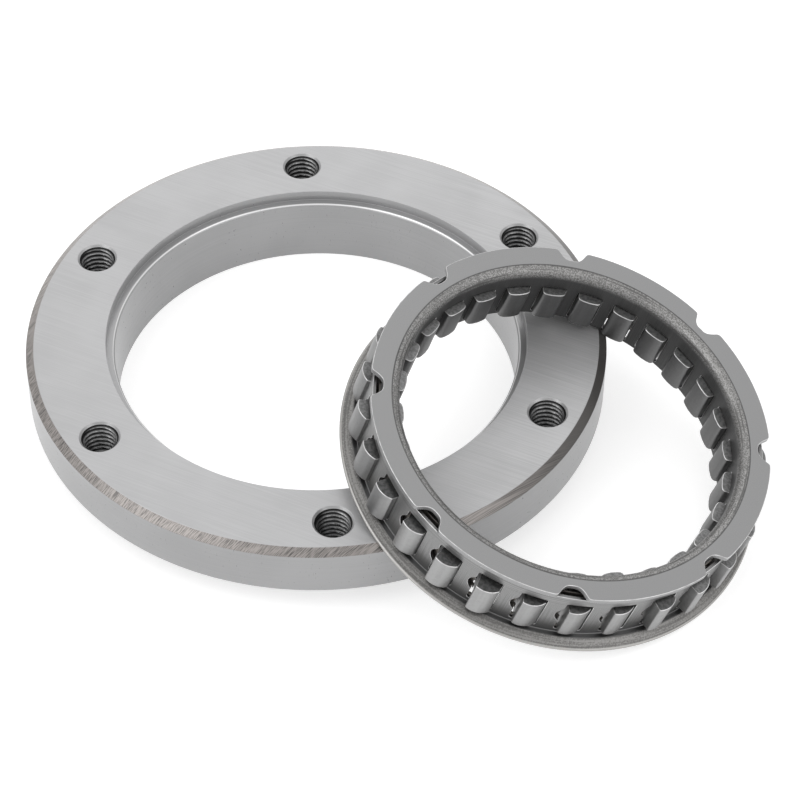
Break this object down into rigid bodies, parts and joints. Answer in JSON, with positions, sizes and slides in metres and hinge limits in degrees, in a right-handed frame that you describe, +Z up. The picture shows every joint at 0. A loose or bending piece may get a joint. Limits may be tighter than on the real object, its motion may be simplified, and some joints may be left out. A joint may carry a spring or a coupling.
{
  "type": "starter clutch",
  "caption": "One-way starter clutch: a flanged, bored outer race ring with threaded holes, and its flanged double cage of sprags with a ribbon spring, leaning on the ring.",
  "frame": {"origin": "on the race's axis, in the plane of the ring's lower face, which is the floor it lies on", "axes": "+Z up along the race's axis towards the counterbored face; +X to the right and +Y away from the viewer of the picture"},
  "size_m": [0.1605, 0.1422, 0.0425],
  "materials": {
    "race_steel": "ground face, turned outside",
    "outer_cage_steel": "drawn sheet, lightly brushed",
    "inner_cage_steel": "smooth flange, grainy bend",
    "spring_steel": "bright strip",
    "sprag_steel": "tumbled satin"
  },
  "bodies": {
    "ring": {"outer_race": "race_steel"},
    "outer_cage": {"outer_cage": "outer_cage_steel", "ribbon_spring": "spring_steel"},
    "inner_cage": {"inner_cage": "inner_cage_steel"},
    "sprag_01": {"sprag_01": "sprag_steel"},
    "sprag_02": {"sprag_02": "sprag_steel"},
    "sprag_03": {"sprag_03": "sprag_steel"},
    "sprag_04": {"sprag_04": "sprag_steel"},
    "sprag_05": {"sprag_05": "sprag_steel"},
    "sprag_06": {"sprag_06": "sprag_steel"},
    "sprag_07": {"sprag_07": "sprag_steel"},
    "sprag_08": {"sprag_08": "sprag_steel"},
    "sprag_09": {"sprag_09": "sprag_steel"},
    "sprag_10": {"sprag_10": "sprag_steel"},
    "sprag_11": {"sprag_11": "sprag_steel"},
    "sprag_12": {"sprag_12": "sprag_steel"},
    "sprag_13": {"sprag_13": "sprag_steel"},
    "sprag_14": {"sprag_14": "sprag_steel"},
    "sprag_15": {"sprag_15": "sprag_steel"},
    "sprag_16": {"sprag_16": "sprag_steel"},
    "sprag_17": {"sprag_17": "sprag_steel"},
    "sprag_18": {"sprag_18": "sprag_steel"},
    "sprag_19": {"sprag_19": "sprag_steel"},
    "sprag_20": {"sprag_20": "sprag_steel"},
    "sprag_21": {"sprag_21": "sprag_steel"},
    "sprag_22": {"sprag_22": "sprag_steel"},
    "sprag_23": {"sprag_23": "sprag_steel"},
    "sprag_24": {"sprag_24": "sprag_steel"},
    "sprag_25": {"sprag_25": "sprag_steel"},
    "sprag_26": {"sprag_26": "sprag_steel"},
    "sprag_27": {"sprag_27": "sprag_steel"},
    "sprag_28": {"sprag_28": "sprag_steel"}
  },
  "joints": [
    {"name": "cage_lift", "type": "slide", "parent": "ring", "child": "outer_cage", "axis": [0, 0, 1], "range_m": [0, 0.06]},
    {"name": "inner_cage_turn", "type": "hinge", "parent": "outer_cage", "child": "inner_cage", "pos_m": [0.05252, -0.03424, 0.02159], "axis": [0.2463, -0.1606, 0.9558], "range_deg": [-1.35, 0]},
    {"name": "sprag_01_tilt", "type": "hinge", "parent": "outer_cage", "child": "sprag_01", "pos_m": [0.01614, -0.05525, 0.02602], "axis": [0.2463, -0.1606, 0.9558], "range_deg": [0, 10]},
    {"name": "sprag_02_tilt", "type": "hinge", "parent": "outer_cage", "child": "sprag_02", "pos_m": [0.02136, -0.0627, 0.02343], "axis": [0.2463, -0.1606, 0.9558], "range_deg": [0, 10]},
    {"name": "sprag_03_tilt", "type": "hinge", "parent": "outer_cage", "child": "sprag_03", "pos_m": [0.02812, -0.06871, 0.02068], "axis": [0.2463, -0.1606, 0.9558], "range_deg": [0, 10]},
    {"name": "sprag_04_tilt", "type": "hinge", "parent": "outer_cage", "child": "sprag_04", "pos_m": [0.03608, -0.07298, 0.01791], "axis": [0.2463, -0.1606, 0.9558], "range_deg": [0, 10]},
    {"name": "sprag_05_tilt", "type": "hinge", "parent": "outer_cage", "child": "sprag_05", "pos_m": [0.04486, -0.0753, 0.01526], "axis": [0.2463, -0.1606, 0.9558], "range_deg": [0, 10]},
    {"name": "sprag_06_tilt", "type": "hinge", "parent": "outer_cage", "child": "sprag_06", "pos_m": [0.054, -0.07555, 0.01286], "axis": [0.2463, -0.1606, 0.9558], "range_deg": [0, 10]},
    {"name": "sprag_07_tilt", "type": "hinge", "parent": "outer_cage", "child": "sprag_07", "pos_m": [0.06305, -0.07371, 0.01083], "axis": [0.2463, -0.1606, 0.9558], "range_deg": [0, 10]},
    {"name": "sprag_08_tilt", "type": "hinge", "parent": "outer_cage", "child": "sprag_08", "pos_m": [0.07156, -0.06989, 0.00928], "axis": [0.2463, -0.1606, 0.9558], "range_deg": [0, 10]},
    {"name": "sprag_09_tilt", "type": "hinge", "parent": "outer_cage", "child": "sprag_09", "pos_m": [0.0791, -0.06426, 0.00829], "axis": [0.2463, -0.1606, 0.9558], "range_deg": [0, 10]},
    {"name": "sprag_10_tilt", "type": "hinge", "parent": "outer_cage", "child": "sprag_10", "pos_m": [0.08528, -0.05712, 0.00789], "axis": [0.2463, -0.1606, 0.9558], "range_deg": [0, 10]},
    {"name": "sprag_11_tilt", "type": "hinge", "parent": "outer_cage", "child": "sprag_11", "pos_m": [0.08981, -0.04883, 0.00812], "axis": [0.2463, -0.1606, 0.9558], "range_deg": [0, 10]},
    {"name": "sprag_12_tilt", "type": "hinge", "parent": "outer_cage", "child": "sprag_12", "pos_m": [0.09245, -0.03978, 0.00896], "axis": [0.2463, -0.1606, 0.9558], "range_deg": [0, 10]},
    {"name": "sprag_13_tilt", "type": "hinge", "parent": "outer_cage", "child": "sprag_13", "pos_m": [0.09307, -0.03045, 0.01036], "axis": [0.2463, -0.1606, 0.9558], "range_deg": [0, 10]},
    {"name": "sprag_14_tilt", "type": "hinge", "parent": "outer_cage", "child": "sprag_14", "pos_m": [0.09165, -0.0213, 0.01227], "axis": [0.2463, -0.1606, 0.9558], "range_deg": [0, 10]},
    {"name": "sprag_15_tilt", "type": "hinge", "parent": "outer_cage", "child": "sprag_15", "pos_m": [0.08824, -0.01279, 0.01458], "axis": [0.2463, -0.1606, 0.9558], "range_deg": [0, 10]},
    {"name": "sprag_16_tilt", "type": "hinge", "parent": "outer_cage", "child": "sprag_16", "pos_m": [0.08302, -0.00534, 0.01717], "axis": [0.2463, -0.1606, 0.9558], "range_deg": [0, 10]},
    {"name": "sprag_17_tilt", "type": "hinge", "parent": "outer_cage", "child": "sprag_17", "pos_m": [0.07626, 0.00067, 0.01993], "axis": [0.2463, -0.1606, 0.9558], "range_deg": [0, 10]},
    {"name": "sprag_18_tilt", "type": "hinge", "parent": "outer_cage", "child": "sprag_18", "pos_m": [0.06829, 0.00494, 0.0227], "axis": [0.2463, -0.1606, 0.9558], "range_deg": [0, 10]},
    {"name": "sprag_19_tilt", "type": "hinge", "parent": "outer_cage", "child": "sprag_19", "pos_m": [0.05952, 0.00726, 0.02535], "axis": [0.2463, -0.1606, 0.9558], "range_deg": [0, 10]},
    {"name": "sprag_20_tilt", "type": "hinge", "parent": "outer_cage", "child": "sprag_20", "pos_m": [0.05038, 0.0075, 0.02774], "axis": [0.2463, -0.1606, 0.9558], "range_deg": [0, 10]},
    {"name": "sprag_21_tilt", "type": "hinge", "parent": "outer_cage", "child": "sprag_21", "pos_m": [0.04132, 0.00567, 0.02977], "axis": [0.2463, -0.1606, 0.9558], "range_deg": [0, 10]},
    {"name": "sprag_22_tilt", "type": "hinge", "parent": "outer_cage", "child": "sprag_22", "pos_m": [0.03282, 0.00184, 0.03132], "axis": [0.2463, -0.1606, 0.9558], "range_deg": [0, 10]},
    {"name": "sprag_23_tilt", "type": "hinge", "parent": "outer_cage", "child": "sprag_23", "pos_m": [0.02528, -0.00378, 0.03232], "axis": [0.2463, -0.1606, 0.9558], "range_deg": [0, 10]},
    {"name": "sprag_24_tilt", "type": "hinge", "parent": "outer_cage", "child": "sprag_24", "pos_m": [0.01909, -0.01092, 0.03271], "axis": [0.2463, -0.1606, 0.9558], "range_deg": [0, 10]},
    {"name": "sprag_25_tilt", "type": "hinge", "parent": "outer_cage", "child": "sprag_25", "pos_m": [0.01457, -0.01922, 0.03248], "axis": [0.2463, -0.1606, 0.9558], "range_deg": [0, 10]},
    {"name": "sprag_26_tilt", "type": "hinge", "parent": "outer_cage", "child": "sprag_26", "pos_m": [0.01193, -0.02826, 0.03165], "axis": [0.2463, -0.1606, 0.9558], "range_deg": [0, 10]},
    {"name": "sprag_27_tilt", "type": "hinge", "parent": "outer_cage", "child": "sprag_27", "pos_m": [0.01131, -0.03759, 0.03024], "axis": [0.2463, -0.1606, 0.9558], "range_deg": [0, 10]},
    {"name": "sprag_28_tilt", "type": "hinge", "parent": "outer_cage", "child": "sprag_28", "pos_m": [0.01273, -0.04674, 0.02833], "axis": [0.2463, -0.1606, 0.9558], "range_deg": [0, 10]}
  ],
  "couplings": [
    {"joint": "sprag_01_tilt", "follows": "inner_cage_turn", "ratio": -7.4},
    {"joint": "sprag_02_tilt", "follows": "inner_cage_turn", "ratio": -7.4},
    {"joint": "sprag_03_tilt", "follows": "inner_cage_turn", "ratio": -7.4},
    {"joint": "sprag_04_tilt", "follows": "inner_cage_turn", "ratio": -7.4},
    {"joint": "sprag_05_tilt", "follows": "inner_cage_turn", "ratio": -7.4},
    {"joint": "sprag_06_tilt", "follows": "inner_cage_turn", "ratio": -7.4},
    {"joint": "sprag_07_tilt", "follows": "inner_cage_turn", "ratio": -7.4},
    {"joint": "sprag_08_tilt", "follows": "inner_cage_turn", "ratio": -7.4},
    {"joint": "sprag_09_tilt", "follows": "inner_cage_turn", "ratio": -7.4},
    {"joint": "sprag_10_tilt", "follows": "inner_cage_turn", "ratio": -7.4},
    {"joint": "sprag_11_tilt", "follows": "inner_cage_turn", "ratio": -7.4},
    {"joint": "sprag_12_tilt", "follows": "inner_cage_turn", "ratio": -7.4},
    {"joint": "sprag_13_tilt", "follows": "inner_cage_turn", "ratio": -7.4},
    {"joint": "sprag_14_tilt", "follows": "inner_cage_turn", "ratio": -7.4},
    {"joint": "sprag_15_tilt", "follows": "inner_cage_turn", "ratio": -7.4},
    {"joint": "sprag_16_tilt", "follows": "inner_cage_turn", "ratio": -7.4},
    {"joint": "sprag_17_tilt", "follows": "inner_cage_turn", "ratio": -7.4},
    {"joint": "sprag_18_tilt", "follows": "inner_cage_turn", "ratio": -7.4},
    {"joint": "sprag_19_tilt", "follows": "inner_cage_turn", "ratio": -7.4},
    {"joint": "sprag_20_tilt", "follows": "inner_cage_turn", "ratio": -7.4},
    {"joint": "sprag_21_tilt", "follows": "inner_cage_turn", "ratio": -7.4},
    {"joint": "sprag_22_tilt", "follows": "inner_cage_turn", "ratio": -7.4},
    {"joint": "sprag_23_tilt", "follows": "inner_cage_turn", "ratio": -7.4},
    {"joint": "sprag_24_tilt", "follows": "inner_cage_turn", "ratio": -7.4},
    {"joint": "sprag_25_tilt", "follows": "inner_cage_turn", "ratio": -7.4},
    {"joint": "sprag_26_tilt", "follows": "inner_cage_turn", "ratio": -7.4},
    {"joint": "sprag_27_tilt", "follows": "inner_cage_turn", "ratio": -7.4},
    {"joint": "sprag_28_tilt", "follows": "inner_cage_turn", "ratio": -7.4}
  ]
}
